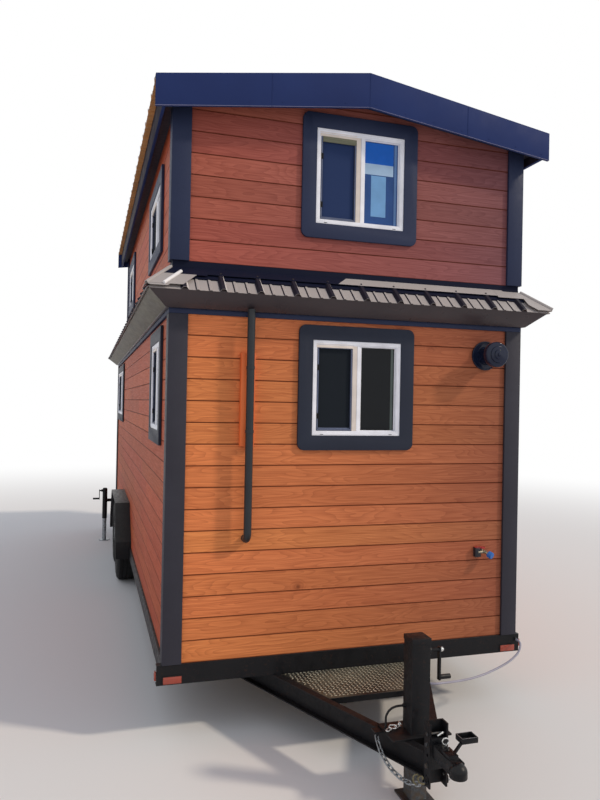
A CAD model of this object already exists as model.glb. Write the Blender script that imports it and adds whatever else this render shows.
"""Tiny house on wheels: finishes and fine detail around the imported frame.

The frame is in metres, with +Y to the rear and +Z up. New pieces are modelled in millimetres from the middle
of the front siding's lower edge, as their values here are, and moved into the frame when they are finished.
"""

import math

import bmesh
import bpy
from mathutils import Matrix, Vector


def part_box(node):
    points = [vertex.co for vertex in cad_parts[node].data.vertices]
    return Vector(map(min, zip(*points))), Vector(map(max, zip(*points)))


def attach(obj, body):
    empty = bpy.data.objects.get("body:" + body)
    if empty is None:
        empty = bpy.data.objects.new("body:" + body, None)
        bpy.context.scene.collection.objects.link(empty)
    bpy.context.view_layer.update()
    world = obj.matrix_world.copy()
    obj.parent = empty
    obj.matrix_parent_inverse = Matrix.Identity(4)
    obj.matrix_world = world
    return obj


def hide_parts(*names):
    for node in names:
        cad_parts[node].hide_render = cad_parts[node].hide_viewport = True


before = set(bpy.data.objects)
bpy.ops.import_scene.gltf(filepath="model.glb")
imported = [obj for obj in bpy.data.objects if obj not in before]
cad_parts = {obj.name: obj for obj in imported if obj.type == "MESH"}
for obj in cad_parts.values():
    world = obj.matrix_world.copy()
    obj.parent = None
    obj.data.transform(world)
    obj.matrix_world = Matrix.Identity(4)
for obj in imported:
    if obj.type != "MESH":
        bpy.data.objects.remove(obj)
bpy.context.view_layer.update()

METRE = 1000
MM = 1 / METRE
siding_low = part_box("front_wall")[0]
TO_FRAME = Matrix.Translation((0, siding_low.y, siding_low.z)) @ Matrix.Scale(MM, 4)
TO_HOUSE = TO_FRAME.inverted()
UP = Vector((0, 0, 1))


def house_box(node_name):
    """Lowest and highest corner of a CAD node, in millimetres from the front siding's lower edge."""
    low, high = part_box(node_name)
    return TO_HOUSE @ low, TO_HOUSE @ high


# Sizes that the frame holds, in millimetres
HALF_W = house_box("front_wall")[1].x
WALL_T = house_box("front_wall")[1].y
LOWER_LEN = house_box("rear_wall")[1].y
UPPER_LEN = house_box("upper_rear_wall")[1].y
PENT_TOP = house_box("pent_eave")[1].z
PENT_OUT = -house_box("pent_eave")[0].y
UPPER_BASE = house_box("apron_flashing")[1].z
ROOF_HALF = house_box("fascia")[1].x
ROOF_FRONT = house_box("fascia")[0].y

# Siding boards: face width, and the groove between two of them
BOARD = 132.4
GROOVE_W = 5
GROOVE_D = 6

# Roofing: distance between major ribs, and the low ribs in each pan
RIB_PITCH = 229
MINOR_W = 26
MINOR_TOP = 12
MINOR_H = 5


# Camera and light

def aim_camera():
    """The photograph's view: focal length in pixels of its 800-pixel side, place and turn of the camera."""
    focal_px = 692.9
    long_side_px = 800
    stood_at = Vector((-1669, -4212, 1583))
    yaw, pitch, roll = (math.radians(angle) for angle in (16.98, 0.29, 1.10))
    forward = Vector((math.sin(yaw) * math.cos(pitch), math.cos(yaw) * math.cos(pitch), math.sin(pitch)))
    level = Vector((math.cos(yaw), -math.sin(yaw), 0))
    upright = level.cross(forward)
    across = level * math.cos(roll) + upright * math.sin(roll)
    upward = upright * math.cos(roll) - level * math.sin(roll)
    data = bpy.data.cameras.new("camera")
    data.sensor_width = 36
    data.lens = data.sensor_width * focal_px / long_side_px
    camera = bpy.data.objects.new("camera", data)
    turn = Matrix((across, upward, -forward)).transposed().to_4x4()
    camera.matrix_world = Matrix.Translation(TO_FRAME @ stood_at) @ turn
    bpy.context.scene.collection.objects.link(camera)
    bpy.context.scene.camera = camera
    bpy.context.scene.view_settings.view_transform = "Standard"


def rgb(code):
    """Linear colour of an sRGB hex value such as #B5623C."""
    parts = [int(code[i:i + 2], 16) / 255 for i in (1, 3, 5)]
    linear = [c / 12.92 if c <= 0.04045 else ((c + 0.055) / 1.055) ** 2.4 for c in parts]
    return (*linear, 1)


def node(tree, kind, inputs=(), **settings):
    """Adds a shader node with its settings, and returns its outputs.

    inputs is a list in the order of its sockets, or a dictionary by socket, of values and of other nodes'
    outputs.
    """
    made = tree.nodes.new("ShaderNode" + kind)
    for name, value in settings.items():
        setattr(made, name, value)
    for socket, value in (inputs.items() if isinstance(inputs, dict) else enumerate(inputs)):
        if isinstance(value, bpy.types.NodeSocket):
            tree.links.new(value, made.inputs[socket])
        else:
            made.inputs[socket].default_value = value
    return made.outputs


def light_scene():
    """White surroundings for the camera and for reflections, plain soft daylight for the object."""
    world = bpy.data.worlds.new("studio")
    bpy.context.scene.world = world
    world.use_nodes = True
    tree = world.node_tree
    tree.nodes.clear()
    rays = node(tree, "LightPath")
    shown = node(tree, "Math", [rays["Is Camera Ray"], rays["Is Glossy Ray"]], operation="MAXIMUM")[0]
    shown = node(tree, "Math", [shown, rays["Is Transmission Ray"]], operation="MAXIMUM")[0]
    soft = node(tree, "Background", [rgb("#EEF3FF"), 0.68])[0]
    white = node(tree, "Background", [(1, 1, 1, 1), 1])[0]
    node(tree, "OutputWorld", [node(tree, "MixShader", [shown, soft, white])[0]])
    sun = bpy.data.lights.new("sun", "SUN")
    sun.energy = 1.6
    sun.angle = math.radians(5)
    sun.color = rgb("#FFF1DE")[:3]
    lamp = bpy.data.objects.new("sun", sun)
    toward = Vector((-0.78, 0.42, -0.66))
    lamp.rotation_mode = "QUATERNION"
    lamp.rotation_quaternion = toward.to_track_quat("-Z", "Y")
    bpy.context.scene.collection.objects.link(lamp)


def lay_floor():
    """Pale studio floor that fades into the white surroundings away from the object."""
    bm = bmesh.new()
    bmesh.ops.create_circle(bm, cap_ends=True, segments=64, radius=60)
    mesh = bpy.data.meshes.new("floor_plane")
    bm.to_mesh(mesh)
    bm.free()
    floor = bpy.data.objects.new("floor_plane", mesh)
    bpy.context.scene.collection.objects.link(floor)
    material, tree = new_material("studio_floor")
    place = node(tree, "TexCoord")["Object"]
    away = node(tree, "VectorMath", [place], operation="LENGTH")["Value"]
    fade = node(tree, "MapRange", [away, 5.5, 16, 0, 1], interpolation_type="SMOOTHSTEP")[0]
    seen = node(tree, "Math", [node(tree, "LightPath")["Is Camera Ray"], fade], operation="MULTIPLY")[0]
    matt = node(tree, "BsdfDiffuse", [rgb("#E4E2DF")])[0]
    white = node(tree, "Emission", [(1, 1, 1, 1), 1])[0]
    node(tree, "OutputMaterial", [node(tree, "MixShader", [seen, matt, white])[0]])
    mesh.materials.append(material)


# Materials

def new_material(name):
    """A material with an empty node tree."""
    material = bpy.data.materials.new(name)
    material.use_nodes = True
    material.node_tree.nodes.clear()
    return material, material.node_tree


def finish(made_of, name, *values):
    """A material: made_of draws its surface in a node tree, and gives the values of the shader's sockets."""
    material, tree = new_material(name)
    node(tree, "OutputMaterial", [node(tree, "BsdfPrincipled", made_of(tree, *values))[0]])
    return material


def patches(tree, size_mm, low, high, stretch=(1, 1, 1)):
    """Uneven patches about size_mm wide, from low to high; a stretch above 1 narrows them along its axis."""
    place = node(tree, "Mapping", {"Vector": node(tree, "TexCoord")["Object"], "Scale": stretch})[0]
    noise = {"Vector": place, "Scale": METRE / size_mm, "Detail": 4, "Roughness": 0.55}
    return node(tree, "MapRange", [node(tree, "TexNoise", noise)[0], 0.32, 0.68, low, high])[0]


def top_dust(tree, colour, dust, amount):
    """Dust on faces that look up, in patches about 60 mm wide."""
    facing = node(tree, "SeparateXYZ", [node(tree, "NewGeometry")["Normal"]])["Z"]
    lying = node(tree, "MapRange", [facing, 0.2, 0.9, 0, 1])[0]
    lying = node(tree, "Math", [lying, patches(tree, 60, 0, amount)], operation="MULTIPLY")[0]
    return node(tree, "Mix", {0: lying, 6: colour, 7: rgb(dust)}, data_type="RGBA")[2]


def cedar(tree, along, base, seed, butts, left_tint, right_tint):
    """Planed cedar boards in a clear orange stain: brown grain lines, a few soft knots, a low satin sheen.

    along is the axis that the boards run along, base the height in metres where the lowest one starts, and
    butts the distance in millimetres between joints along a row, or 0 where each board runs the whole width.
    The tints are the stain's weathering at the house's left and right: it has stayed a bright orange at the
    left of the front, and has gone browner towards the right and on the upper storey.
    """
    place = node(tree, "SeparateXYZ", [node(tree, "TexCoord")["Object"]])
    run = place[along]
    row_place = node(tree, "MapRange", [place["Z"], base, base + BOARD * MM, 0, 1], clamp=False)[0]
    row = node(tree, "Math", [row_place], operation="FLOOR")[0]
    shift = node(tree, "TexWhiteNoise", {"W": node(tree, "Math", [row, seed])[0]}, noise_dimensions="1D")[0]
    stagger = node(tree, "Math", [shift, 5], operation="MULTIPLY")[0]
    stagger = node(tree, "Math", [run, METRE / butts if butts else 0, stagger], operation="MULTIPLY_ADD")[0]
    length_no = node(tree, "Math", [stagger], operation="FLOOR")[0]
    board_no = node(tree, "CombineXYZ", [row, length_no, seed])[0]
    chance = node(tree, "TexWhiteNoise", [board_no], noise_dimensions="3D")
    draws = node(tree, "SeparateXYZ", [chance["Color"]])
    own_run = node(tree, "Math", [chance["Value"], 90, run], operation="MULTIPLY_ADD")[0]

    # Streaks of about 5 by 300 mm, and growth rings as contour lines of a long soft noise
    fast, slow = (node(tree, "Math", [own_run, pace], operation="MULTIPLY")[0] for pace in (3.2, 1.5))
    fine, wide = (node(tree, "Math", [place["Z"], pace], operation="MULTIPLY")[0] for pace in (170, 11))
    streak_place = node(tree, "CombineXYZ", [fast, draws[0], fine])[0]
    streaks = node(tree, "TexNoise", {"Vector": streak_place, "Scale": 1, "Detail": 5, "Roughness": 0.6})[0]
    ring_place = node(tree, "CombineXYZ", [slow, draws[1], wide])[0]
    hills = node(tree, "TexNoise", {"Vector": ring_place, "Scale": 1, "Detail": 1.5, "Roughness": 0.4})[0]

    # A knot in about one cell of three, 35 mm across, with the grain bent around it
    knot_place = node(tree, "CombineXYZ", [own_run, draws[2], place["Z"]])[0]
    knots = node(tree, "TexVoronoi", {"Vector": knot_place, "Scale": 2.8}, feature="F1")
    kept = node(tree, "SeparateXYZ", [knots["Color"]])[0]
    kept = node(tree, "MapRange", [kept, 0.6, 0.66, 0, 1])[0]
    eye = node(tree, "MapRange", [knots["Distance"], 0.02, 0.055, 0.75, 0])[0]
    halo = node(tree, "MapRange", [knots["Distance"], 0.02, 0.16, 1, 0])[0]
    eye, halo = (node(tree, "Math", [part, kept], operation="MULTIPLY")[0] for part in (eye, halo))
    swirl = node(tree, "Math", [halo, 2.2], operation="MULTIPLY")[0]
    swirl = node(tree, "Math", [hills, 15, swirl], operation="MULTIPLY_ADD")[0]
    rings = node(tree, "Math", [swirl], operation="FRACT")[0]
    rings = node(tree, "Math", [rings, 2.2], operation="POWER")[0]

    tone = node(tree, "MapRange", [streaks, 0.3, 0.72, 0, 1])[0]
    colour = node(tree, "Mix", {0: tone, 6: rgb("#D57B49"), 7: rgb("#FD9E61")}, data_type="RGBA")[2]
    for amount, strength, stain in ((rings, 0.3, "#94462C"), (halo, 0.4, "#8A4028"), (eye, 1.0, "#5A281A")):
        amount = node(tree, "Math", [amount, strength], operation="MULTIPLY")[0]
        colour = node(tree, "Mix", {0: amount, 6: colour, 7: rgb(stain)}, data_type="RGBA")[2]
    own_tone = node(tree, "MapRange", [draws[0], 0, 1, 0.9, 1.08])[0]
    own_tone = node(tree, "Math", [own_tone, patches(tree, 900, 0.94, 1.05)], operation="MULTIPLY")[0]
    hue = node(tree, "MapRange", [draws[1], 0, 1, 0.497, 0.504])[0]
    weathered = node(tree, "MapRange", [place["X"], -HALF_W * MM, HALF_W * MM, 0, 1])[0]
    weathered = node(tree, "Mix", {0: weathered, 6: rgb(left_tint), 7: rgb(right_tint)}, data_type="RGBA")[2]
    colour = node(tree, "Mix", {0: 1, 6: colour, 7: weathered}, data_type="RGBA", blend_type="MULTIPLY")[2]
    colour = node(tree, "HueSaturation", {"Hue": hue, "Value": own_tone, "Color": colour})[0]

    # Stain gathers at a board's edges and at its ends
    across = node(tree, "Math", [row_place, 0.5], operation="PINGPONG")[0]
    seam_line = node(tree, "MapRange", [across, 0.012, 0.05, 0.8, 0])[0]
    if butts:
        end = node(tree, "Math", [stagger, 0.5], operation="PINGPONG")[0]
        end = node(tree, "MapRange", [end, 0.0004, 0.0007, 0.9, 0])[0]
        seam_line = node(tree, "Math", [seam_line, end], operation="MAXIMUM")[0]
    colour = node(tree, "Mix", {0: seam_line, 6: colour, 7: rgb("#6B301C")}, data_type="RGBA")[2]
    relief = node(tree, "Math", [rings, -0.5, streaks], operation="MULTIPLY_ADD")[0]
    return {"Base Color": colour, "Roughness": node(tree, "MapRange", [streaks, 0.3, 0.7, 0.64, 0.5])[0],
            "IOR": 1.48, "Specular IOR Level": 0.14,
            "Normal": node(tree, "Bump", {"Strength": 0.5, "Distance": 0.5 * MM, "Height": relief})[0]}


def painted_wood(tree, colour, shade):
    """Exterior paint brushed on sawn boards: even dark colour, faint grain and brush marks, satin."""
    mottle = patches(tree, 330, 0, 1)
    coat = node(tree, "Mix", {0: mottle, 6: rgb(colour), 7: rgb(shade)}, data_type="RGBA")[2]
    marks = [patches(tree, 4, 0, 1, stretch) for stretch in ((1, 1, 0.12), (0.12, 0.12, 1))]
    brushed = node(tree, "Math", marks)[0]
    return {"Base Color": top_dust(tree, coat, "#7A7168", 0.25), "Roughness": patches(tree, 25, 0.45, 0.6),
            "IOR": 1.5, "Specular IOR Level": 0.18,
            "Normal": node(tree, "Bump", {"Strength": 0.35, "Distance": 0.5 * MM, "Height": brushed})[0]}


def enamelled_steel(tree, colour, rust, roughness):
    """Brushed-on enamel over rolled steel: dark and half glossy, a few rust freckles, a little dust."""
    freckles = [patches(tree, 14, -2.6, 1), patches(tree, 200, 0, 0.8)]
    spots = node(tree, "Math", freckles, operation="MULTIPLY", use_clamp=True)[0]
    mottle, grit = patches(tree, 250, 0, 1), patches(tree, 6, 0, 1)
    coat = node(tree, "Mix", {0: mottle, 6: rgb(colour), 7: rgb("#131316")}, data_type="RGBA")[2]
    coat = node(tree, "Mix", {0: spots, 6: coat, 7: rgb(rust)}, data_type="RGBA")[2]
    return {"Base Color": top_dust(tree, coat, "#3A3734", 0.1), "IOR": 1.5, "Specular IOR Level": 0.25,
            "Roughness": patches(tree, 33, roughness - 0.1, roughness + 0.18),
            "Normal": node(tree, "Bump", {"Strength": 0.5, "Distance": 0.3 * MM, "Height": grit})[0]}


def coated_sheet(tree, colour, shade, roughness, gloss):
    """Factory-painted sheet steel: one even coating in two near tones, faintly wavy, with a soft gloss."""
    mottle, waves = patches(tree, 450, 0, 1), patches(tree, 200, 0, 1)
    return {"Base Color": node(tree, "Mix", {0: mottle, 6: rgb(colour), 7: rgb(shade)}, data_type="RGBA")[2],
            "Roughness": patches(tree, 120, roughness - 0.05, roughness + 0.08), "IOR": 1.5,
            "Specular IOR Level": gloss,
            "Normal": node(tree, "Bump", {"Strength": 0.25, "Distance": 1.0 * MM, "Height": waves})[0]}


def zinc(tree, colour, shade, roughness, grime):
    """Galvanised or plated metal: spangles about 6 mm wide, dull metal with a little dirt in its hollows."""
    spangle = node(tree, "TexVoronoi", {"Vector": node(tree, "TexCoord")["Object"], "Scale": 160})["Color"]
    spangle = node(tree, "SeparateXYZ", [spangle])[0]
    metal = node(tree, "Mix", {0: spangle, 6: rgb(colour), 7: rgb(shade)}, data_type="RGBA")[2]
    dirt = patches(tree, 25, -0.4, grime)
    return {"Base Color": node(tree, "Mix", {0: dirt, 6: metal, 7: rgb("#5B4E42")}, data_type="RGBA")[2],
            "Roughness": node(tree, "MapRange", [dirt, 0, 1, roughness, roughness + 0.3])[0],
            "Metallic": 0.8}


def darker(colour, share):
    """A linear colour with its three parts brought down to a share."""
    return (*(part * share for part in colour[:3]), 1)


def moulded(tree, colour, roughness, grain_mm=4.5):
    """Moulded plastic or rubber: one colour through, faint mottling and a fine matt grain."""
    mottle, grain = patches(tree, 110, 0, 1), patches(tree, grain_mm, 0, 1)
    tones = {0: mottle, 6: rgb(colour), 7: darker(rgb(colour), 0.84)}
    return {"Base Color": node(tree, "Mix", tones, data_type="RGBA")[2],
            "Roughness": patches(tree, 25, roughness - 0.05, roughness + 0.08), "IOR": 1.5,
            "Specular IOR Level": 0.3,
            "Normal": node(tree, "Bump", {"Strength": 0.4, "Distance": 0.2 * MM, "Height": grain})[0]}


def float_glass(tree, colour):
    """Coated float glass over a dark room: deep and smooth, a little uneven where it has been wiped."""
    smears = patches(tree, 170, 0, 1)
    tones = {0: smears, 6: rgb(colour), 7: darker(rgb(colour), 0.75)}
    return {"Base Color": node(tree, "Mix", tones, data_type="RGBA")[2],
            "Roughness": node(tree, "MapRange", [smears, 0, 1, 0.02, 0.06])[0], "IOR": 1.5,
            "Specular IOR Level": 0.1, "Transmission Weight": 0.25}


def insect_screen(tree, thread, gap):
    """Woven fibreglass insect screen: dark threads, 6 mm apart here so that the weave shows."""
    place = node(tree, "SeparateXYZ", [node(tree, "TexCoord")["Object"]])
    turns = [node(tree, "Math", [axis, math.tau / (6 * MM)], operation="MULTIPLY")[0] for axis in place]
    waves = [node(tree, "Math", [turn], operation="SINE")[0] for turn in turns]
    woven = node(tree, "Math", [waves[0], waves[1]], operation="MAXIMUM")[0]
    woven = node(tree, "Math", [woven, waves[2]], operation="MAXIMUM")[0]
    shown = node(tree, "MapRange", [woven, 0.2, 0.9, 0, 1])[0]
    return {"Base Color": node(tree, "Mix", {0: shown, 6: rgb(gap), 7: rgb(thread)}, data_type="RGBA")[2],
            "Roughness": 0.8, "Specular IOR Level": 0.1,
            "Normal": node(tree, "Bump", {"Strength": 0.5, "Distance": 0.3 * MM, "Height": woven})[0]}


def streaked_wood(tree, colour, shade, roughness, stretch):
    """A stained or bare board: long streaks in two tones, narrowed along the axes of stretch."""
    grain = patches(tree, 110, 0, 1, stretch)
    return {"Base Color": node(tree, "Mix", {0: grain, 6: rgb(colour), 7: rgb(shade)}, data_type="RGBA")[2],
            "Roughness": patches(tree, 30, roughness - 0.05, roughness + 0.08), "IOR": 1.5,
            "Specular IOR Level": 0.4,
            "Normal": node(tree, "Bump", {"Strength": 0.3, "Distance": 0.4 * MM, "Height": grain})[0]}


def reflector(tree, colour, shade):
    """Moulded acrylic reflector: saturated colour over a grid of 3 mm prisms."""
    prisms = node(tree, "TexVoronoi", {"Vector": node(tree, "TexCoord")["Object"], "Scale": 330,
                                       "Randomness": 0})["Distance"]
    lit = node(tree, "MapRange", [prisms, 0.1, 0.7, 0, 1])[0]
    return {"Base Color": node(tree, "Mix", {0: lit, 6: rgb(colour), 7: rgb(shade)}, data_type="RGBA")[2],
            "Roughness": 0.15, "IOR": 1.49, "Coat Weight": 0.6,
            "Normal": node(tree, "Bump", {"Strength": 0.6, "Distance": 0.8 * MM, "Height": prisms})[0]}


BASE_Z = siding_low.z
UP_Z = BASE_Z + UPPER_BASE * MM
SIDING_FRONT = finish(cedar, "cedar_front", "X", BASE_Z, 3, 0, "#FFFBF4", "#ABAACE")
SIDING_FRONT_UP = finish(cedar, "cedar_front_upper", "X", UP_Z, 11, 0, "#BFABE4", "#8A95FA")
SIDING_SIDE = finish(cedar, "cedar_side", "Y", BASE_Z, 23, 3660, "#C8A0A4", "#DCC4B8")
SIDING_SIDE_UP = finish(cedar, "cedar_side_upper", "Y", UP_Z, 31, 3660, "#C49CA2", "#D8BCB2")
TRIM = finish(painted_wood, "trim_paint", "#2B334D", "#282F48")
TRIM_FADED = finish(painted_wood, "trim_paint_faded", "#393841", "#34333B")
TRIM_CASING = finish(painted_wood, "casing_paint", "#2A2F3D", "#272B38")
STEEL = finish(enamelled_steel, "steel_enamel", "#0B0C11", "#35221A", 0.42)
TREAD = finish(enamelled_steel, "tread_enamel", "#5C584A", "#72614A", 0.34)
DIAMOND = finish(zinc, "worn_diamonds", "#D6D2BE", "#9C9886", 0.4, 0.5)
CAST = finish(enamelled_steel, "cast_enamel", "#0B0D12", "#2A1D16", 0.26)
ZINC = finish(zinc, "zinc_plate", "#A8AEB4", "#7C8288", 0.38, 0.6)
CHROME = finish(zinc, "polished_zinc", "#E6E6E2", "#C8CACC", 0.2, 0.1)
YELLOW_ZINC = finish(zinc, "yellow_zinc", "#86805F", "#6A6450", 0.4, 0.5)
OLD_ZINC = finish(zinc, "weathered_zinc", "#55575A", "#3E4043", 0.45, 0.8)
RUBBER = finish(moulded, "tyre_rubber", "#1E1E1F", 0.8, 11)
RIM = finish(zinc, "wheel_silver", "#C6C8CA", "#A9ACAF", 0.36, 0.35)
PLY = finish(streaked_wood, "floor_ply", "#B89662", "#9C7A4A", 0.7, (0.4, 0.4, 9))
LINING = finish(streaked_wood, "inner_lining", "#A58A68", "#8F7452", 0.7, (0.4, 0.4, 9))
VINYL = finish(moulded, "window_vinyl", "#F6F6FC", 0.34, 16)
CREAM_VINYL = finish(moulded, "sunned_vinyl", "#EFE2D6", 0.36, 16)
PANE = finish(float_glass, "window_pane", "#12161B")
SKY_PANE = finish(float_glass, "window_pane_sky", "#345C9E")
SPACER = finish(moulded, "pane_spacer", "#59645F", 0.5)
SKY_SPACER = finish(moulded, "pane_spacer_sky", "#6688B8", 0.5)
SCREEN = finish(insect_screen, "screen_weave", "#242A31", "#161A1F")
SKY_SCREEN = finish(insect_screen, "screen_weave_sky", "#2F4068", "#243254")
SCREEN_FRAME = finish(moulded, "screen_frame", "#394056", 0.4)
SCREEN_BEAD = finish(moulded, "screen_bead", "#7A84A0", 0.4)
BLUE_SHEET = finish(moulded, "blue_sheet", "#1062C4", 0.6)
PALE_SHEET = finish(moulded, "pale_sheet", "#A2BEDA", 0.5)
TINTED_SHEET = finish(moulded, "tinted_sheet", "#72A4D4", 0.5)
BLIND = finish(streaked_wood, "blind_roll", "#84846E", "#63634F", 0.6, (0.15, 0.15, 6))
SOFFIT = finish(coated_sheet, "soffit_coating", "#483F41", "#3E373A", 0.3, 0.3)
SIDE_SOFFIT = finish(streaked_wood, "soffit_board", "#5A523D", "#433B2C", 0.5, (1, 0.3, 1))
UPPER_SOFFIT = finish(painted_wood, "upper_soffit", "#383A46", "#2C2E3A")
ROOFING = finish(coated_sheet, "roof_coating", "#B2ABA7", "#A8A19E", 0.4, 0.3)
RIB_SIDE = finish(coated_sheet, "roof_coating_shaded", "#2A2833", "#23222C", 0.5, 0.12)
RIB_BRIGHT = finish(coated_sheet, "roof_coating_bright", "#DAD4D0", "#CCC6C4", 0.4, 0.4)
UNDER_ROOF = finish(streaked_wood, "roof_underside", "#DC9C62", "#B8804C", 0.6, (1, 0.2, 1))
FLASHING = finish(coated_sheet, "flashing_coating", "#2B3967", "#293560", 0.6, 0.06)
EAVE_FLASHING = finish(coated_sheet, "eave_flashing_coating", "#2E2933", "#29242E", 0.6, 0.06)
HEM = finish(coated_sheet, "hem_coating", "#A6A2B8", "#9A96AC", 0.4, 0.2)
BEAD = finish(coated_sheet, "bead_coating", "#F6F4F2", "#ECEAEA", 0.3, 0.4)
TURNED_UP = finish(coated_sheet, "apron_coating", "#161A2C", "#12162A", 0.55, 0.08)
SCREW = finish(zinc, "painted_screw", "#4A4A50", "#3A3A40", 0.4, 0.2)
PIPE = finish(moulded, "black_abs", "#2C3034", 0.34)
BATTEN = finish(streaked_wood, "batten_stain", "#FF8242", "#E0662C", 0.5, (1, 1, 0.1))
VENT = finish(moulded, "vent_enamel", "#171F36", 0.14)
BOX = finish(moulded, "valve_box", "#2B2B31", 0.4)
BRASS = finish(zinc, "plated_brass", "#B4AC98", "#98907C", 0.28, 0.3)
RED = finish(moulded, "red_enamel", "#C03A3A", 0.3)
BLUE = finish(moulded, "blue_cap", "#2F6FC0", 0.3)
LENS = finish(reflector, "lens_acrylic", "#B84A30", "#8A3020")
GREY_JACKET = finish(moulded, "grey_jacket", "#A29FAD", 0.4, 9)
BLACK_JACKET = finish(moulded, "black_jacket", "#1B1B1D", 0.45, 9)
SHADOW = finish(moulded, "dark_gap", "#0C0C0F", 0.8)


# Loose cables: their routes are the frame's own, in millimetres

HARNESS_D = 14
HARNESS_PATH = [
    (1222, -24, -36), (1222, -45, -36), (1221, -66, -41), (1215, -84, -52), (1204, -97, -68),
    (1189, -106, -86), (1169, -113, -103), (1144, -120, -118), (1115, -127, -132), (1083, -134, -144),
    (1049, -141, -154), (1013, -149, -163), (976, -157, -171), (938, -165, -178), (899, -174, -184),
    (860, -184, -188), (821, -194, -190), (782, -205, -191), (743, -217, -190), (705, -230, -187),
    (667, -244, -183), (630, -260, -177), (593, -277, -170), (557, -294, -163), (522, -308, -157),
    (489, -316, -153), (459, -320, -152), (433, -315, -152), (408, -305, -152), (384, -295, -152)]
LEAD_D = 12
LEAD_PATH = [
    (-65, -905, 15), (-77, -905, 15), (-89, -905, 15), (-101, -904, 14), (-112, -902, 10),
    (-123, -899, 5), (-132, -896, -3), (-140, -893, -12), (-145, -890, -23), (-149, -887, -34),
    (-151, -885, -46), (-151, -884, -59), (-151, -884, -72), (-151, -884, -85), (-151, -884, -98)]


def make_cords():
    """The lamps' harness and the plug's lead, each from gland to gland."""
    for cable, path, diameter, slot, jacket in (
            ("harness_cable", HARNESS_PATH, HARNESS_D, "grey_cable", GREY_JACKET),
            ("plug_lead", LEAD_PATH, LEAD_D, "black_cable", BLACK_JACKET)):
        curve = bpy.data.curves.new(cable + "_jacket", "CURVE")
        curve.dimensions = "3D"
        curve.bevel_depth = diameter * MM / 2
        curve.bevel_resolution = 4
        curve.resolution_u = 4
        curve.use_fill_caps = True
        spline = curve.splines.new("BEZIER")
        spline.bezier_points.add(len(path) - 1)
        knots = [TO_FRAME @ Vector(place) for place in path]
        for point, knot in zip(spline.bezier_points, knots):
            point.co = knot
            point.handle_left_type = point.handle_right_type = "AUTO"
        curve.materials.append(jacket)
        made = bpy.data.objects.new(cable + "_jacket", curve)
        bpy.context.scene.collection.objects.link(made)
        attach(made, "root")
        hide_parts(cable)


# Modelling helpers

def stand(place, *turns):
    """A matrix that stands a shape in its place, after turns of (axis, degrees), the last one first."""
    whole = Matrix.Translation(place)
    for axis, angle in turns:
        whole = whole @ Matrix.Rotation(math.radians(angle), 4, axis)
    return whole


def paint(bm, choose):
    """Gives each face the material index that choose says."""
    bm.normal_update()
    for face in bm.faces:
        face.material_index = int(choose(face))


def paint_new(made, index):
    """Gives the faces round some new points a material index."""
    for face in {face for vert in made for face in vert.link_faces}:
        face.material_index = index
    return made


def slit(bm, place, across, dist=0.01, **settings):
    """Cuts a whole shape along a plane."""
    bmesh.ops.bisect_plane(bm, geom=bm.verts[:] + bm.edges[:] + bm.faces[:], dist=dist, plane_co=place,
                           plane_no=across, **settings)


def block(bm, first, second, index=0):
    """Adds a box between any two opposite corners, with a material index."""
    low, high = Vector(map(min, first, second)), Vector(map(max, first, second))
    made = bmesh.ops.create_cube(bm, size=1)["verts"]
    bmesh.ops.scale(bm, vec=high - low, verts=made)
    bmesh.ops.translate(bm, vec=(low + high) / 2, verts=made)
    return paint_new(made, index)


def rod(bm, start, end, radius, sides, end_radius=None, index=0):
    """Adds a closed cylinder, or a cone, between two points, with a material index."""
    start, end = Vector(start), Vector(end)
    turn = (end - start).to_track_quat("Z", "Y").to_matrix().to_4x4()
    made = bmesh.ops.create_cone(bm, cap_ends=True, segments=sides, radius1=radius,
                                 radius2=radius if end_radius is None else end_radius,
                                 depth=(end - start).length,
                                 matrix=Matrix.Translation((start + end) / 2) @ turn)["verts"]
    return paint_new(made, index)


def turned(bm, outline, steps, place=Matrix(), index=0):
    """Spins an outline of (radius, height) points about Z, and then puts the shape in its place."""
    before, others = set(bm.verts), set(bm.faces)
    line = [bm.verts.new((radius, 0, height)) for radius, height in outline]
    edges = [bm.edges.new(pair) for pair in zip(line, line[1:])]
    bmesh.ops.spin(bm, geom=line + edges, cent=(0, 0, 0), axis=(0, 0, 1), angle=math.tau, steps=steps,
                   use_merge=True)
    bmesh.ops.remove_doubles(bm, verts=[v for v in bm.verts if v not in before], dist=0.01)
    faces = [face for face in bm.faces if face not in others]
    bmesh.ops.recalc_face_normals(bm, faces=faces)
    bmesh.ops.transform(bm, matrix=place, verts=[v for v in bm.verts if v not in before])
    for face in faces:
        face.material_index = index


def bent_rod(bm, path, radius, sides):
    """Sweeps a round wire along points, and closes its two ends."""
    points = [Vector(place) for place in path]
    side = None
    loops = []
    for i, point in enumerate(points):
        ahead = (points[min(i + 1, len(points) - 1)] - points[max(i - 1, 0)]).normalized()
        side = (side or ahead.orthogonal()) - ahead * ahead.dot(side or ahead.orthogonal())
        side.normalize()
        turn = Matrix((side, ahead.cross(side), ahead)).transposed().to_4x4()
        ring = bmesh.ops.create_circle(bm, segments=sides, radius=radius,
                                       matrix=Matrix.Translation(point) @ turn)["verts"]
        loops.append(list({edge for vert in ring for edge in vert.link_edges}))
    for first, second in zip(loops, loops[1:]):
        bmesh.ops.bridge_loops(bm, edges=first + second)
    for loop in (loops[0], loops[-1]):
        bmesh.ops.contextual_create(bm, geom=loop)


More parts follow.
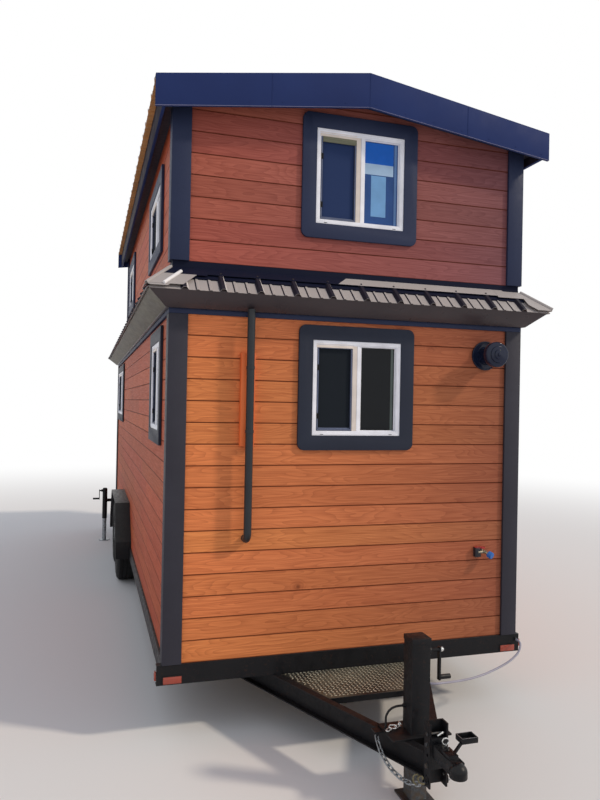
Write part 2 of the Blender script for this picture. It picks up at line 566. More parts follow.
def wire_link(bm, place, length, width, wire):
    """Adds a closed chain link of round wire, long along the X of its place and flat in its XY."""
    made = bmesh.ops.create_circle(bm, segments=24, radius=(width - wire) / 2)["verts"]
    for vert in made:
        vert.co.x += math.copysign((length - width) / 2, vert.co.x)
    loop = sorted(made, key=lambda vert: math.atan2(vert.co.y, vert.co.x))
    path = [place @ vert.co for vert in loop]
    bmesh.ops.delete(bm, geom=made, context="VERTS")
    bent_rod(bm, path + path[:2], wire / 2, 8)


def soften(bm, width, segments=2):
    """Bevels the edges at which the surface turns by more than 30 degrees."""
    sharp = [e for e in bm.edges if len(e.link_faces) == 2 and e.calc_face_angle(0) > math.radians(30)]
    bmesh.ops.bevel(bm, geom=sharp, offset=width, offset_type="OFFSET", segments=segments, profile=0.5,
                    affect="EDGES", clamp_overlap=True, material=-1)


def cad_copy(node_name):
    """A CAD node's shape in house millimetres, merged and with its flat faces whole."""
    bm = bmesh.new()
    bm.from_mesh(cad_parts[node_name].data)
    bmesh.ops.transform(bm, matrix=TO_HOUSE, verts=bm.verts)
    bmesh.ops.remove_doubles(bm, verts=bm.verts, dist=0.02)
    bmesh.ops.dissolve_limit(bm, angle_limit=math.radians(0.5), verts=bm.verts, edges=bm.edges)
    return bm


def piece(name, bm, materials, body="root", replaces=(), smooth=35, outward=False):
    """Finishes a shape: into the frame, shaded smooth below an angle, with its finish, body and slot."""
    bmesh.ops.transform(bm, matrix=TO_FRAME, verts=bm.verts)
    if outward:
        bmesh.ops.recalc_face_normals(bm, faces=bm.faces)
    mesh = bpy.data.meshes.new(name)
    bm.to_mesh(mesh)
    bm.free()
    # The frame's own normals no longer fit once a copy is cut or bevelled
    if "custom_normal" in mesh.attributes:
        mesh.attributes.remove(mesh.attributes["custom_normal"])
    mesh.shade_smooth()
    mesh.set_sharp_from_angle(angle=math.radians(smooth))
    for material in materials if isinstance(materials, (list, tuple)) else [materials]:
        mesh.materials.append(material)
    made = bpy.data.objects.new(name, mesh)
    bpy.context.scene.collection.objects.link(made)
    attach(made, body)
    if replaces:
        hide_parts(*replaces)


def dressed(node_name, materials, bevel=0, segments=2, body="root", smooth=35, second=None):
    """Stands for a CAD node with the same shape, its sharp edges eased by bevel millimetres.

    A face of which second is true takes the second of two materials.
    """
    bm = cad_copy(node_name)
    if second:
        paint(bm, second)
    if bevel:
        soften(bm, bevel, segments)
    piece(node_name + "_finish", bm, materials, body, [node_name], smooth)


def solids_of(node_name):
    """Lowest and highest corners of each separate solid of a CAD node, in house millimetres."""
    bm = cad_copy(node_name)
    boxes, seen = [], set()
    for start in bm.verts:
        if start in seen:
            continue
        island, queue = [], [start]
        seen.add(start)
        while queue:
            vert = queue.pop()
            island.append(vert.co.copy())
            fresh = {edge.other_vert(vert) for edge in vert.link_edges} - seen
            seen |= fresh
            queue += fresh
        boxes.append((Vector(map(min, *island)), Vector(map(max, *island))))
    bm.free()
    return boxes


def screw_head(bm, place, normal, size=1.0):
    """A roofing screw: a thin washer, a hexagon head and its domed top, 16 mm across at size 1."""
    place, normal = Vector(place), Vector(normal).normalized() * size
    rod(bm, place - normal, place + normal * 1.5, 8 * size, 10)
    rod(bm, place + normal * 1.5, place + normal * 6, 5.5 * size, 6, 4 * size)


# Walls

def boarded_wall(node_name, out, siding):
    """A CAD wall with grooves between its siding boards, and lining on its inner face."""
    bm = cad_copy(node_name)
    out = Vector(out)
    low, high = house_box(node_name)
    base = UPPER_BASE if node_name.startswith("upper") else 0
    joints = [base + i * BOARD for i in range(-1, 20) if low.z + 10 < base + i * BOARD < high.z - 10]
    for joint in joints:
        for level in (joint - GROOVE_W / 2, joint, joint + GROOVE_W / 2):
            slit(bm, (0, 0, level), UP, 0.001)
    face_at = max(v.co.dot(out) for v in bm.verts)
    for vert in bm.verts:
        if abs(vert.co.dot(out) - face_at) < 0.01 and any(abs(vert.co.z - joint) < 0.01 for joint in joints):
            vert.co -= out * GROOVE_D
    paint(bm, lambda face: face.normal.dot(out) < -0.9)
    piece(node_name + "_siding", bm, [siding, LINING], "root", [node_name], 20)


def make_walls():
    for storey, ends, sides in (("", SIDING_FRONT, SIDING_SIDE),
                                ("upper_", SIDING_FRONT_UP, SIDING_SIDE_UP)):
        for wall, out, siding in (("front", (0, -1, 0), ends), ("rear", (0, 1, 0), ends),
                                  ("left", (-1, 0, 0), sides), ("right", (1, 0, 0), sides)):
            boarded_wall(f"{storey}{wall}_wall", out, siding)
    for floor in ("floor", "loft_floor"):
        dressed(floor, PLY, 2)


def on_lower_storey(face):
    """True of a face below the skirt roof's top, where the paint is greyer."""
    return face.calc_center_median().z < PENT_TOP


def make_trim():
    """Painted boards at the corners, under the skirt roof and round the windows."""
    dressed("corner_trims", [TRIM, TRIM_FADED], 2.5, second=on_lower_storey)
    dressed("frieze", TRIM, 2)
    dressed("window_casings", [TRIM, TRIM_CASING], 2.5, 3, second=on_lower_storey)


# Windows

def wall_frame(low, high):
    """Place of a wall piece: X along the wall, -Y out of the siding, Z up, from the middle of its box."""
    middle, size = (low + high) / 2, high - low
    if size.x > size.y:
        rear = middle.y > WALL_T
        face = (UPPER_LEN if middle.z > PENT_TOP else LOWER_LEN) if rear else 0
        return stand((middle.x, face, middle.z), ("Z", 180 if rear else 0)), size.x, size.z
    side = math.copysign(1, middle.x)
    return stand((side * HALF_W, middle.y, middle.z), ("Z", side * 90)), size.y, size.z


def ring_frame(bm, x, width, height, front, back, steps):
    """A rectangular frame with a hole: steps are (inset, depth) moves of its front face towards the hole."""
    made = block(bm, (x - width / 2, front, -height / 2), (x + width / 2, back, height / 2))
    faces = {f for v in made for f in v.link_faces}
    bm.normal_update()
    outer = min(faces, key=lambda f: f.calc_center_median().y)
    inner = max(faces, key=lambda f: f.calc_center_median().y)
    for inset, depth in steps:
        bmesh.ops.inset_region(bm, faces=[outer], thickness=inset, depth=-depth, use_even_offset=True)
    total = sum(inset for inset, depth in steps)
    bmesh.ops.inset_region(bm, faces=[inner], thickness=total, use_even_offset=True)
    edges = list(outer.edges) + list(inner.edges)
    bmesh.ops.delete(bm, geom=[outer, inner], context="FACES_ONLY")
    bmesh.ops.bridge_loops(bm, edges=edges)


def add_part(whole, part, place):
    """Puts a small mesh in its place in a bigger one."""
    bmesh.ops.transform(part, matrix=place, verts=part.verts)
    data = bpy.data.meshes.new("part")
    part.to_mesh(data)
    part.free()
    whole.from_mesh(data)
    bpy.data.meshes.remove(data)


# A slider's parts: face width, front and back of its frame, width of its meeting stile
FRAME_FACE = 30
FRAME_FRONT = -14
FRAME_BACK = 58
STILE_W = 60
# Front and back of what lies in it, and how far the keepers stand from its corners
PANE_FRONT, PANE_BACK = 13, 18
SASH_PANE_FRONT, SASH_PANE_BACK = 44, 49
SCREEN_BACK = 14
KEEPER_IN = 66

# Each part's finishes, its slot, and the CAD nodes that it stands for
WINDOW_PARTS = {
    "vinyl": ([VINYL, CREAM_VINYL], "vinyl", ["window_frames"]),
    "panes": ([PANE, SKY_PANE], "window_glass", ["window_glass"]),
    "screens": ([SCREEN, SKY_SCREEN], "window_glass", ()),
    "screen_rims": ([SCREEN_FRAME, SCREEN_BEAD], "vinyl", ()),
    "spacers": ([SPACER, SKY_SPACER], "vinyl", ()),
    "latches": (SHADOW, "vinyl", ()),
    "sheets": ([BLUE_SHEET, PALE_SHEET, TINTED_SHEET, BLIND], "vinyl", ())}


def make_window(low, high):
    """One slider, as a mesh for each of its parts, and its place on the wall."""
    place, width, height = wall_frame(low, high)
    front_upper = low.z > PENT_TOP and low.y < 0
    sky = int(front_upper)
    made = {name: bmesh.new() for name in WINDOW_PARTS}
    lite_w = width / 2 - FRAME_FACE - STILE_W / 2
    lite_x = (width / 2 - FRAME_FACE + STILE_W / 2) / 2
    top = height / 2 - FRAME_FACE
    lite_h = 2 * top
    left, right, edge = STILE_W / 2, lite_x + lite_w / 2, -width / 2
    outer, inner = -lite_x - lite_w / 2, -lite_x + lite_w / 2

    vinyl = made["vinyl"]
    ring_frame(vinyl, 0, width, height, FRAME_FRONT, FRAME_BACK,
               [(13, 0), (1, 3), (8, 0), (1, 4), (6.8, 0), (0.2, 24)])
    # Fixed lite: glazing bead, and a wide meeting stile of two parts, each turned a little to its side
    ring_frame(vinyl, lite_x, lite_w + 4, lite_h + 4, 4, 26, [(4, 0), (3, 5)])
    for side in (-1, 1):
        stile = block(vinyl, (side, -6, -top - 1), (side * left, 20, top + 1), int(side < 0))
        for vert in stile:
            if abs(vert.co.x - side * left) < 0.01 and vert.co.y < 0:
                vert.co.y += 5
    block(vinyl, (edge + 14, FRAME_FRONT + 3.5, height / 2 - 24), (-left, 0, height / 2 - 15), 1)
    block(vinyl, (edge + 24, FRAME_FRONT + 5, height / 2 - 46), (-left, 0, height / 2 - 30), 1)
    # Sliding sash, a track further in
    ring_frame(vinyl, -lite_x, lite_w + 22, lite_h + 4, 36, 54, [(22, 0), (3, 4), (4, 3)])

    block(made["panes"], (lite_x - lite_w / 2 + 4, PANE_FRONT, -top + 4),
          (right - 4, PANE_BACK, top - 4), sky)
    block(made["panes"], (outer + 18, SASH_PANE_FRONT, -top + 18), (inner - 18, SASH_PANE_BACK, top - 18))
    block(made["spacers"], (right - 29, PANE_FRONT - 0.5, -top + 6),
          (right - 12, PANE_FRONT + 0.5, top - 6), sky)
    block(made["screens"], (outer + 8, PANE_FRONT, -top + 8), (inner - 6, SCREEN_BACK, top - 8), sky)

    # The screen's frame, with a bead in its middle that catches the light, and a wider head and foot
    rims = made["screen_rims"]
    ring_frame(rims, -lite_x + 1, lite_w - 2, lite_h, 0, 12, [(4, 0), (1, -2), (4, 0), (1, 2), (3, 0)])
    paint(rims, lambda face: face.calc_center_median().y < -1.5)
    for end in (-1, 1):
        level = end * (top - 14)
        block(rims, (outer + 14, 8, level - 5), (inner - 10, 13, level + 5), 1)

    latches = made["latches"]
    for level in (0.215 * height, -0.295 * height):
        block(latches, (edge + FRAME_FACE - 1, -5, level - 18), (edge + FRAME_FACE + 18, 4, level + 18))
    for x in (edge + KEEPER_IN, -edge - KEEPER_IN):
        block(latches, (x - 12, FRAME_FRONT - 0.4, -height / 2 + 5),
              (x + 12, FRAME_FRONT + 2, -height / 2 + 10))

    if front_upper:
        for x0, x1, z0, z1, index in ((0.02, 0.85, 0.02, 0.27, 0), (0.02, 0.85, 0.27, 0.4, 1),
                                      (0.21, 0.64, 0.41, 0.9, 2)):
            block(made["sheets"], (left + x0 * lite_w, 12.2, top - z1 * lite_h),
                  (left + x1 * lite_w, 13.4, top - z0 * lite_h), index)
        for drop in (14, 32):
            block(made["sheets"], (outer + 14, -4, top - drop - 17), (-left - 2, 6, top - drop), 3)
    return made, place


def make_windows():
    """Vinyl sliders: a fixed lite on the right, a sliding sash behind an insect screen on the left."""
    whole = {name: bmesh.new() for name in WINDOW_PARTS}
    for low, high in solids_of("window_frames"):
        made, place = make_window(low, high)
        for name, part in made.items():
            add_part(whole[name], part, place)
    soften(whole["vinyl"], 0.8, 1)
    soften(whole["latches"], 1, 1)
    for name, (finishes, slot, nodes) in WINDOW_PARTS.items():
        piece("window_" + name, whole[name], finishes, replaces=nodes)


# Skirt roof: its slope's angle, and the places of things on it

PENT_TIP = house_box("pent_eave")[0].z + 102
SKIRT_ANGLE = math.atan((PENT_TOP - PENT_TIP) / PENT_OUT)
SKIRT_COS, SKIRT_SIN = math.cos(SKIRT_ANGLE), math.sin(SKIRT_ANGLE)
RIB_H = 19
SHEET_T = 2
SIDES = ("front", "rear", "left", "right")
OUTWARD = dict(zip(SIDES, map(Vector, ((0, -1, 0), (0, 1, 0), (-1, 0, 0), (1, 0, 0)))))
ALONG = dict(zip(SIDES, map(Vector, ((1, 0, 0), (1, 0, 0), (0, 1, 0), (0, 1, 0)))))
WALL_MIDDLE = dict(zip(SIDES, map(Vector, (
    (0, 0, 0), (0, LOWER_LEN, 0), (-HALF_W, LOWER_LEN / 2, 0), (HALF_W, LOWER_LEN / 2, 0)))))
SIDE_HALF = dict(zip(SIDES, (HALF_W, HALF_W, LOWER_LEN / 2, LOWER_LEN / 2)))
SLOPE_UP = {side: out * SKIRT_SIN + UP * SKIRT_COS for side, out in OUTWARD.items()}


def on_skirt(side, along, down, lift):
    """A place on the skirt roof: along its wall from the middle, down its slope, and over its boards."""
    level = down * SKIRT_COS + lift * SKIRT_SIN
    rise = PENT_TOP - down * SKIRT_SIN + lift * SKIRT_COS
    return WALL_MIDDLE[side] + ALONG[side] * along + OUTWARD[side] * level + UP * rise


def skirt_side(point):
    """Which side of the skirt roof a point is on: front, rear, left or right, parted at the mitres."""
    reach = {"front": -point.y, "rear": point.y - LOWER_LEN, "left": -point.x - HALF_W,
             "right": point.x - HALF_W}
    return max(reach, key=reach.get)


def low_ribs(bm, axis, on_sheet, middle, count, upward):
    """Presses two low ribs into each pan of a ribbed sheet, out from its middle along an axis."""
    pans = range(-count, count)
    middles = [middle + (i + 0.5 + part / 6) * RIB_PITCH for i in pans for part in (-1, 1)]
    for place in middles:
        for offset in (-MINOR_W / 2, -MINOR_TOP / 2, MINOR_TOP / 2, MINOR_W / 2):
            live = [face for face in bm.faces if on_sheet(face.calc_center_median())]
            edges = {e for f in live for e in f.edges}
            geom = list({v for f in live for v in f.verts}) + list(edges) + live
            bmesh.ops.bisect_plane(bm, geom=geom, dist=0.01, plane_co=axis * (place + offset), plane_no=axis)
    for vert in bm.verts:
        at = vert.co.dot(axis)
        if on_sheet(vert.co) and any(abs(at - place) < MINOR_TOP / 2 + 0.1 for place in middles):
            vert.co += upward * MINOR_H


def mitred_slab(bm, side, first, second, corner, cut):
    """Adds a slab between two (along, down, lift) corners, cut off where it would pass the skirt's hip."""
    slab = bmesh.new()
    for vert in block(slab, first, second):
        vert.co = on_skirt(side, *vert.co)
    slit(slab, corner, cut, clear_outer=True)
    bmesh.ops.holes_fill(slab, edges=[edge for edge in slab.edges if edge.is_boundary])
    add_part(bm, slab, Matrix())


# Corner boots: their slabs' distances over the boards, their wall strips' levels, and how far the two reach
BOOT_LOW, BOOT_TOP = 22.5, 24
BOOT_LEN = 80
BOOT_PAST = 90
STRIP_LOW, STRIP_TOP = 2362, 2402
STRIP_T = 3
BOOT_FROM = 1000
BOOT_BACK = 200
# Hip covers: their width, start and distances over the boards, and the place and radius of the bead
COVER_W = 195
COVER_FROM = 78
COVER_LOW, COVER_TOP = 23.6, 25.1
BEAD_IN, BEAD_FROM, BEAD_LIFT, BEAD_R = 84, 52, 28, 10.5


def make_corner_boots():
    """Flashing at the wall corners: each flap goes on to the hip, over a strip on the wall below it."""
    boots, strips, covers = (bmesh.new() for _ in range(3))
    for x in (-1, 1):
        for end, y in ((-1, 0), (1, LOWER_LEN)):
            corner, cut = Vector((x * HALF_W, y, 0)), Vector((x, -end, 0))
            gable, flank = "front" if end < 0 else "rear", "left" if x < 0 else "right"
            for side, start, reach, across in ((gable, x * BOOT_FROM, x * (HALF_W + BOOT_PAST), cut),
                                               (flank, end * (LOWER_LEN / 2 - BOOT_BACK),
                                                end * (LOWER_LEN / 2 + BOOT_PAST), -cut)):
                mitred_slab(boots, side, (start, 0, BOOT_LOW), (reach, BOOT_LEN, BOOT_TOP), corner, across)
            face = x * (HALF_W + STRIP_T)
            block(strips, (x * BOOT_FROM, y, STRIP_LOW), (face, y + end * STRIP_T, STRIP_TOP))
            block(strips, (x * HALF_W, y, STRIP_LOW), (face, y - end * BOOT_BACK, STRIP_TOP))
    # Hip cover on the gable slopes of the left corners: a flat strip from the hip, with a bead along it
    for side in ("front", "rear"):
        foot = PENT_OUT / SKIRT_COS + 4
        for vert in block(covers, (0, COVER_FROM, COVER_LOW), (COVER_W, foot, COVER_TOP)):
            across, down, lift = vert.co
            vert.co = on_skirt(side, -HALF_W - down * SKIRT_COS + across, down, lift)
        ends = [on_skirt(side, -HALF_W - down * SKIRT_COS + BEAD_IN, down, BEAD_LIFT)
                for down in (BEAD_FROM, foot)]
        rod(covers, *ends, BEAD_R, 16, index=1)
    piece("hip_covers", covers, [ROOFING, BEAD], outward=True)
    paint(boots, lambda face: face.calc_center_median().x < 0
          and skirt_side(face.calc_center_median()) == "front")
    piece("apron_corner_boots", boots, [ROOFING, TURNED_UP], outward=True)
    piece("apron_corner_strips", strips, TURNED_UP)


def rib_tone(face):
    """The high ribs have a dark crown, a dark flank and a bright one; the low ribs have a dark flank."""
    place = face.calc_center_median()
    side = skirt_side(place)
    height = (place - WALL_MIDDLE[side] - UP * PENT_TOP).dot(SLOPE_UP[side])
    leaning = face.normal.dot(ALONG[side])
    if face.normal.dot(SLOPE_UP[side]) > 0 and (height > RIB_H - 3 or abs(leaning) > 0.3):
        return 1 if leaning < 0.3 else 2 if height > MINOR_H else 0
    return 0


# Strips under the sheets' upper ends: how far down they start and end, and their distances over the boards
CLOSURE_FROM, CLOSURE_TO = 30, 96
CLOSURE_LOW, CLOSURE_TOP = 1, 11
# Screws: how far down from the wall, and their places along a hip as parts of the overhang
SCREW_DOWN = 44
HIP_SCREWS = (0.22, 0.8)


def skirt_screw(bm, side, place):
    """A small roofing screw on the skirt roof."""
    screw_head(bm, place, SLOPE_UP[side], 0.9)


def make_skirt_roof():
    """Boxed eave, ribbed sheets with low ribs in their pans, flashing with its screws, and hip caps."""
    dressed("pent_eave", [SOFFIT, SIDE_SOFFIT], 1.5, 1,
            second=lambda face: abs(face.normal.x) > 0.4 and face.normal.z < -0.2)
    bm = cad_copy("pent_roof")
    for side, half in SIDE_HALF.items():
        count = int((half + PENT_OUT - 40) // RIB_PITCH)
        low_ribs(bm, ALONG[side], lambda point, side=side: skirt_side(point) == side,
                 WALL_MIDDLE[side].dot(ALONG[side]), count, SLOPE_UP[side])
    paint(bm, rib_tone)
    piece("pent_roof_ribbed", bm, [ROOFING, RIB_SIDE, RIB_BRIGHT], "root", ["pent_roof"], 20)
    closures = bmesh.new()
    for side, half in SIDE_HALF.items():
        for vert in block(closures, (-half, CLOSURE_FROM, CLOSURE_LOW), (half, CLOSURE_TO, CLOSURE_TOP)):
            vert.co = on_skirt(side, *vert.co)
    piece("flap_closures", closures, TURNED_UP, outward=True)

    # The flap of the front's left length, up to a slanted lap, is as dark as the flashing's upright leg
    bm = cad_copy("apron_flashing")
    lap, across = Vector((-97, -10, 0)), Vector((0.63, -0.77, 0))
    slit(bm, lap, across)

    def on_flap(face):
        place = face.calc_center_median()
        dark = skirt_side(place) == "front" and (place - lap).dot(across) < 0
        return 0.2 < abs(face.normal.z) < 0.95 and not dark

    paint(bm, on_flap)
    piece("apron_flashing_finish", bm, [TURNED_UP, ROOFING], replaces=["apron_flashing"])
    dressed("hip_caps", ROOFING, smooth=40)
    make_corner_boots()

    screws = bmesh.new()
    for side, half in SIDE_HALF.items():
        count = int((half - 60) // RIB_PITCH)
        for i in range(-count, count + 1):
            skirt_screw(screws, side, on_skirt(side, i * RIB_PITCH, SCREW_DOWN, RIB_H + 2 * SHEET_T))
    for side in ("left", "right"):
        for end in (-1, 1):
            for part in HIP_SCREWS:
                out = PENT_OUT * part
                place = on_skirt(side, end * (LOWER_LEN / 2 + out - 25), (out + 40) / SKIRT_COS, 0)
                skirt_screw(screws, side, place + UP * ((RIB_H + 2 * SHEET_T) / SKIRT_COS))
    piece("skirt_screws", screws, SCREW)


# Main roof

EAVE_LOW = house_box("fascia")[0].z
FASCIA_TOP = house_box("fascia")[1].z
RIDGE_LOW = FASCIA_TOP - RIB_H - SHEET_T - 200
ROOF_SLOPE = 208 / 1334
ROOF_ANGLE = math.atan(ROOF_SLOPE)
# Distances from the ridge of the screws on the slopes and on the ridge cap, and of the fascia's laps
SCREW_ROWS = (330, 640, 950, 1260)
RIDGE_SCREW_X = 125
FASCIA_LAPS = (0, 700, -640)
FASCIA_SCREW_PITCH = 205


def fascia_foot(x):
    """Level of the fascia's lower edge at a distance x from the ridge."""
    return EAVE_LOW + (ROOF_HALF - abs(x)) * (RIDGE_LOW - EAVE_LOW) / ROOF_HALF


def make_main_roof():
    dressed("roof_deck", PLY)
    bm, screws, hems, laps = cad_copy("roof_panels"), *(bmesh.new() for _ in range(3))
    count = int((UPPER_LEN / 2 + 95) // RIB_PITCH)
    # Roofing screws beside the ribs, in rows across the slope, and on the ridge cap's edges
    for side in (-1, 1):
        upward = Vector((side * math.sin(ROOF_ANGLE), 0, math.cos(ROOF_ANGLE)))
        low_ribs(bm, Vector((0, 1, 0)), lambda point, side=side: point.x * side > 0, UPPER_LEN / 2, count,
                 upward)
        for i in range(-count, count + 1):
            y = UPPER_LEN / 2 + i * RIB_PITCH
            for x in SCREW_ROWS:
                screw_head(screws, (side * x, y + 34, FASCIA_TOP - x * ROOF_SLOPE - RIB_H * 1.012), upward)
            if abs(i) < count:
                top = FASCIA_TOP - RIDGE_SCREW_X * ROOF_SLOPE + SHEET_T
                screw_head(screws, (side * RIDGE_SCREW_X, y, top), upward)
    paint(bm, lambda face: face.normal.z < -0.3)
    piece("roof_panels_ribbed", bm, [ROOFING, UNDER_ROOF], replaces=["roof_panels"], smooth=20)
    dressed("ridge_cap", EAVE_FLASHING, 0.6, 1)
    dressed("fascia", [FLASHING, EAVE_FLASHING], 1.2,
            second=lambda face: abs(face.normal.x) > 0.8)
    dressed("roof_soffit", UPPER_SOFFIT)
    dressed("rear_roof", ROOFING, 1)
    piece("roof_screws", screws, SCREW)

    # Hemmed lower edges of the fascia's gables, its lapped joints, and small painted screws
    for end, y in ((-1, ROOF_FRONT), (1, UPPER_LEN - ROOF_FRONT)):
        for side in (-1, 1):
            rod(hems, (side * ROOF_HALF, y - end * 2.5, EAVE_LOW + 2.5), (0, y - end * 2.5, RIDGE_LOW + 2.5),
                2.8, 8)
        for x in FASCIA_LAPS:
            top = FASCIA_TOP - abs(x) * ROOF_SLOPE
            block(laps, (x - 1.5, y, fascia_foot(x) + 1), (x + 1.5, y + end * 1.5, top - 1))
        for i in range(-6, 7):
            x = i * FASCIA_SCREW_PITCH + 40
            screw_head(laps, (x, y, fascia_foot(x) + 26), (0, end, 0), 0.5)
    piece("fascia_hems", hems, HEM)
    piece("fascia_laps", laps, FLASHING)


# Trailer

# The hitch: how far back its bolts go through, their half length, and the heights of the coupler's two rows
BOLT_Y = -1155
BOLT_OUT = 50
BOLT_LEVELS = (-73.3, -176.7)
PIN_LEVEL = -21.7
# Links on the chains: place, turn about the upright, tip, and length
QUICK_LINKS = ((-140, -902, -103, 35, 0, 52), (-112, -888, -99, -15, 34, 46), (-83, -880, -103, 30, 0, 44),
               (-64, -868, -98, 60, 62, 40))
GRAB_HOOKS = ((-88, -1166, -247, 0), (-122, -1160, -236, 38))
HOOK_PATH = ((20, -8), (14, -8), (4, -6), (-8, 2), (-15, 14), (-14, 26), (-5, 33), (5, 31), (10, 23),
             (8, 15))


def stepped_rod(bm, start, toward, *steps):
    """Adds rods end to end: each step is a length, a radius, its sides and perhaps an end radius."""
    start, toward = Vector(start), Vector(toward)
    for length, *shape in steps:
        rod(bm, start, start + toward * length, *shape)
        start = start + toward * length


def make_hitch():
    """Bright parts at the coupler: bolts, pin, pull ring, links, grab hooks, and the tray's worn rim."""
    bolts, clip, ring, nut, links, hooks, rim = (bmesh.new() for _ in range(7))
    for side in (-1, 1):
        for level in BOLT_LEVELS:
            stepped_rod(bolts, (side * BOLT_OUT, BOLT_Y, level), (side, 0, 0), (3, 14, 16), (8, 11, 6))
        stepped_rod(bolts, (side * BOLT_OUT, BOLT_Y, PIN_LEVEL), (side, 0, 0), (7, 10, 6))
    rod(bolts, (-56, BOLT_Y, PIN_LEVEL), (56, BOLT_Y, PIN_LEVEL), 5.5, 14)
    soften(bolts, 0.8, 1)
    piece("coupler_bolts", bolts, OLD_ZINC)
    rod(clip, (-4, -1168, -30), (28, -1168, -14), 5, 12)
    soften(clip, 1, 1)
    piece("coupler_clip", clip, CHROME)
    wire_link(ring, stand((25, -1196, -47), ("X", 84)), 40, 36, 6.5)
    rod(ring, (25, -1196, -70), (25, -1196, -62), 6, 12)
    piece("latch_ring", ring, CHROME)
    stepped_rod(nut, (134, -930, 300), (1, 0, 0), (12, 13, 6), (6, 8, 12))
    soften(nut, 1.2, 1)
    piece("crank_nut", nut, CHROME, "jack_crank")
    for x, y, z, turn, tip, length in QUICK_LINKS:
        wire_link(links, stand((x, y, z), ("Z", turn), ("X", tip)), length, 27, 7)
    piece("chain_quick_links", links, CHROME)
    for x, y, z, turn in GRAB_HOOKS:
        place = stand((x, y, z), ("Y", turn))
        bent_rod(hooks, [place @ Vector((across, 0, level)) for across, level in HOOK_PATH], 4.2, 10)
    piece("grab_hooks", hooks, YELLOW_ZINC)
    ring_frame(rim, 0, 85, 61, -0.8, 0.4, [(3, 0)])
    bmesh.ops.transform(rim, matrix=stand((93, -1278, 12), ("X", -90)), verts=rim.verts)
    piece("tray_rim", rim, ZINC, outward=True)


# The tongue's deck: distance between its bars, and the deck's shape as a half width that grows to the rear
TREAD_PITCH = 25
DECK_FRONT, DECK_REAR = -418, 30
DECK_FRONT_HALF = 299
DECK_MARGIN = 16


def make_tread():
    """Tread plate: raised lens-shaped bars, each at a right angle to its neighbours, worn bright on top."""
    dressed("tongue_deck", [STEEL, TREAD], 0.8, 1, second=lambda face: face.normal.z > 0.5)
    corner = house_box("tongue_deck")[1]
    bars = bmesh.new()
    for row in range(-17, 2):
        for column in range(-20, 21):
            x, y = column * TREAD_PITCH, row * TREAD_PITCH + 4
            half = corner.x - (50 - y) * (corner.x - DECK_FRONT_HALF) / 480
            if abs(x) > half - DECK_MARGIN or not DECK_FRONT <= y <= DECK_REAR:
                continue
            place = stand((x, y, corner.z), ("Z", 45 if (row + column) % 2 else -45))
            place = place @ Matrix.Diagonal((2.7, 1, 1, 1)) @ Matrix.Translation((0, 0, 0.6))
            bmesh.ops.create_cone(bars, cap_ends=True, segments=6, radius1=4.6, radius2=3.0, depth=2.2,
                                  matrix=place)
    piece("tread_bars", bars, DIAMOND)


# Half of a tyre's outline from its bead to its middle groove, as radius and distance from its mid-plane
TYRE_R = 386
TYRE_HALF = 112.5
TYRE_OUTLINE = (
    (203, 90.5), (214, 100.5), (228, 108.5), (240, 110.5), (243, 112), (250, 112), (253, 110.5),
    (298, 112.5), (330, 111.5), (333, 109), (338, 109), (341, 110), (363, 104.5), (377, 95.5), (385, 86.5),
    (TYRE_R, 60.5), (TYRE_R, 46), (383, 45.5), (383, 38.5), (TYRE_R, 38), (TYRE_R, 4), (383, 3.5))
HUB_OUTLINE = ((0, 72), (12, 71), (22, 67), (28, 62), (30, 58), (30, 52), (0, 52))
NUT_CIRCLE_R = 70


def make_wheel(wheel, turn):
    """A tyre with cut tread blocks and ringed walls, a silver wheel with its hub, nuts and valve stem."""
    low, high = house_box(f"tyre_{wheel}")
    place = stand((low + high) / 2, ("Y", turn))
    tyre, nuts = bmesh.new(), bmesh.new()
    mirrored = tuple((radius, -level) for radius, level in reversed(TYRE_OUTLINE))
    turned(tyre, TYRE_OUTLINE + mirrored, 96)
    tyre.normal_update()
    blocks = [face for face in tyre.faces if face.calc_center_median().xy.length > TYRE_R - 1
              and abs(face.calc_center_median().z) < TYRE_HALF - 22 and abs(face.normal.z) < 0.4]
    bmesh.ops.inset_individual(tyre, faces=blocks, thickness=2.2, depth=4.4, use_even_offset=True)
    bmesh.ops.transform(tyre, matrix=place, verts=tyre.verts)
    piece(f"tyre_{wheel}_tread", tyre, RUBBER, f"wheel_{wheel}", [f"tyre_{wheel}"], 28)
    dressed(f"rim_{wheel}", RIM, 1, 1, f"wheel_{wheel}")
    for i in range(8):
        angle = math.radians(45 * i + 22.5)
        foot = (NUT_CIRCLE_R * math.cos(angle), NUT_CIRCLE_R * math.sin(angle), 32)
        stepped_rod(nuts, foot, UP, (6, 15, 16, 12), (16, 11, 6), (3, 7, 12))
    turned(nuts, HUB_OUTLINE, 32)
    rod(nuts, (0, -178, 36), (0, -184, 70), 5, 12)
    bmesh.ops.transform(nuts, matrix=place, verts=nuts.verts)
    piece(f"nuts_{wheel}", nuts, CHROME, f"wheel_{wheel}")


def make_wheels():
    for side, turn in (("left", -90), ("right", 90)):
        for row in ("front", "rear"):
            make_wheel(f"{side}_{row}", turn)


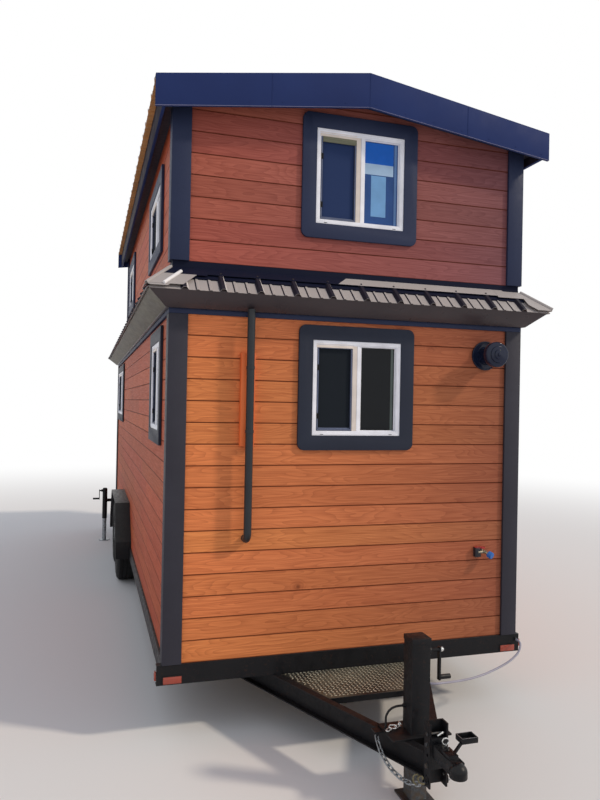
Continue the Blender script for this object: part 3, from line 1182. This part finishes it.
def make_trailer():
    for name in ("deck_rim", "main_rails", "crossmembers", "tongue_arms", "coupler_channel", "axles"):
        dressed(name, STEEL, 1.6, 1)
    dressed("fenders", STEEL, 2)
    dressed("coupler", CAST, 2)
    dressed("jack_body", STEEL, 4, 3)
    dressed("jack_leg", OLD_ZINC, 1.5, 2, "jack_leg")
    dressed("jack_crank", STEEL, 2, 2, "jack_crank")
    dressed("safety_chains", ZINC, smooth=60)
    dressed("rear_jack_bodies", STEEL, 1, 1)
    for side in ("left", "right"):
        dressed(f"rear_jack_leg_{side}", ZINC, 1, 1, f"rear_jack_leg_{side}")
        dressed(f"rear_jack_crank_{side}", STEEL, 1, 1, f"rear_jack_crank_{side}")
    # Reflectors and tail lamps, the wide ones in dark rubber beds
    dressed("lamps", LENS, 2)
    beds = bmesh.new()
    for low, high in solids_of("lamps"):
        if high.x - low.x > 60:
            y, out = (low.y, 5) if low.y > 0 else (high.y, -5)
            block(beds, (low.x - 5, y, low.z - 4), (high.x + 5, y + out, high.z + 4))
    soften(beds, 1.5)
    piece("lamp_beds", beds, RUBBER)


# Fittings and door

TAP_Y = -22
TAP_HANDLE = ((0, 9), (6, 9), (9, 6), (15, 6), (18, 9), (20, 7), (20, 2), (18, 0), (0, 0))
SPOUT_CAP = ((0, 31.5), (20, 31.5), (23, 34), (23, 58), (20, 64), (0, 64))
DOOR_KNOB = ((0, 0), (33, 0), (33, 3), (30, 6), (12, 6), (11, 22), (18, 26), (25, 34), (25, 43), (18, 50),
             (0, 50.5))
DOOR_INNER, DOOR_OUTER = 7266, 7310


def make_tap():
    """Hose tap: a dark valve box, a plated body, a red round handle and a blue cap on the spout."""
    x, z = house_box("hose_tap")[0].x, 588
    parts = bmesh.new()
    block(parts, (x, -30, z - 33.5), (x + 44, 0, z + 33.5))
    block(parts, (x + 7, -31.5, z - 26), (x + 37, -29.5, z + 26))
    soften(parts, 2.5)
    rod(parts, (x + 22, TAP_Y, z), (966, TAP_Y, z), 11, 24, index=1)
    rod(parts, (944, TAP_Y, z), (952, TAP_Y, z), 13.5, 6, index=1)
    rod(parts, (940, TAP_Y, z + 8), (940, TAP_Y, z + 25), 5, 16, index=1)
    turned(parts, TAP_HANDLE, 24, stand((940, TAP_Y, z + 24)))
    paint(parts, lambda face: 2 if face.calc_center_median().z > z + 23.5 else face.material_index)
    # The spout turns out of the wall and down, as the frame's does
    spout = stand((960, TAP_Y, z), ("X", 90), ("Y", 25), ("X", 20))
    rod(parts, spout.translation, spout @ Vector((0, 0, 34)), 11, 24, index=1)
    turned(parts, SPOUT_CAP, 24, spout, 3)
    piece("hose_tap_parts", parts, [BOX, BRASS, RED, BLUE], replaces=["hose_tap"], smooth=40)


def make_door():
    """Painted door: a leaf with two sunk panels, a round knob on its plate, and three hinge barrels."""
    low, high = house_box("door")
    leaf, hardware = bmesh.new(), bmesh.new()
    block(leaf, (low.x, DOOR_INNER, low.z), (high.x, DOOR_OUTER, high.z))
    for level in (low.z + 150, low.z + 820, low.z + 960, high.z - 150):
        slit(leaf, (0, 0, level), UP)
    for x in (low.x + 130, high.x - 130):
        slit(leaf, (x, 0, 0), (1, 0, 0))
    leaf.normal_update()
    panels = [face for face in leaf.faces if abs(face.normal.y) > 0.9
              and abs(face.calc_center_median().x) < 200 and face.calc_area() > 150000
              and face.calc_center_median().z < high.z - 160]
    for width, depth in ((9, -9), (28, 0), (14, 6)):
        bmesh.ops.inset_individual(leaf, faces=panels, thickness=width, depth=depth, use_even_offset=True)
    piece("door_leaf", leaf, TRIM, replaces=["door"])
    turned(hardware, DOOR_KNOB, 32, stand((low.x + 70, DOOR_OUTER - 1, low.z + 980), ("X", -90)))
    for z in (low.z + 180, low.z + 970, high.z - 200):
        rod(hardware, (high.x - 6, DOOR_OUTER + 6, z - 45), (high.x - 6, DOOR_OUTER + 6, z + 45), 7, 14)
    piece("door_hardware", hardware, BRASS, smooth=40)


def make_fittings():
    dressed("drain_pipe", PIPE, 0.8, 1)
    dressed("pipe_batten", BATTEN, 2)
    dressed("vent_cap", VENT, 2)
    make_tap()
    make_door()


for make in (aim_camera, light_scene, lay_floor, make_cords, make_walls, make_trim, make_windows,
             make_skirt_roof, make_main_roof, make_trailer, make_hitch, make_tread, make_wheels,
             make_fittings):
    make()

bpy.context.view_layer.update()
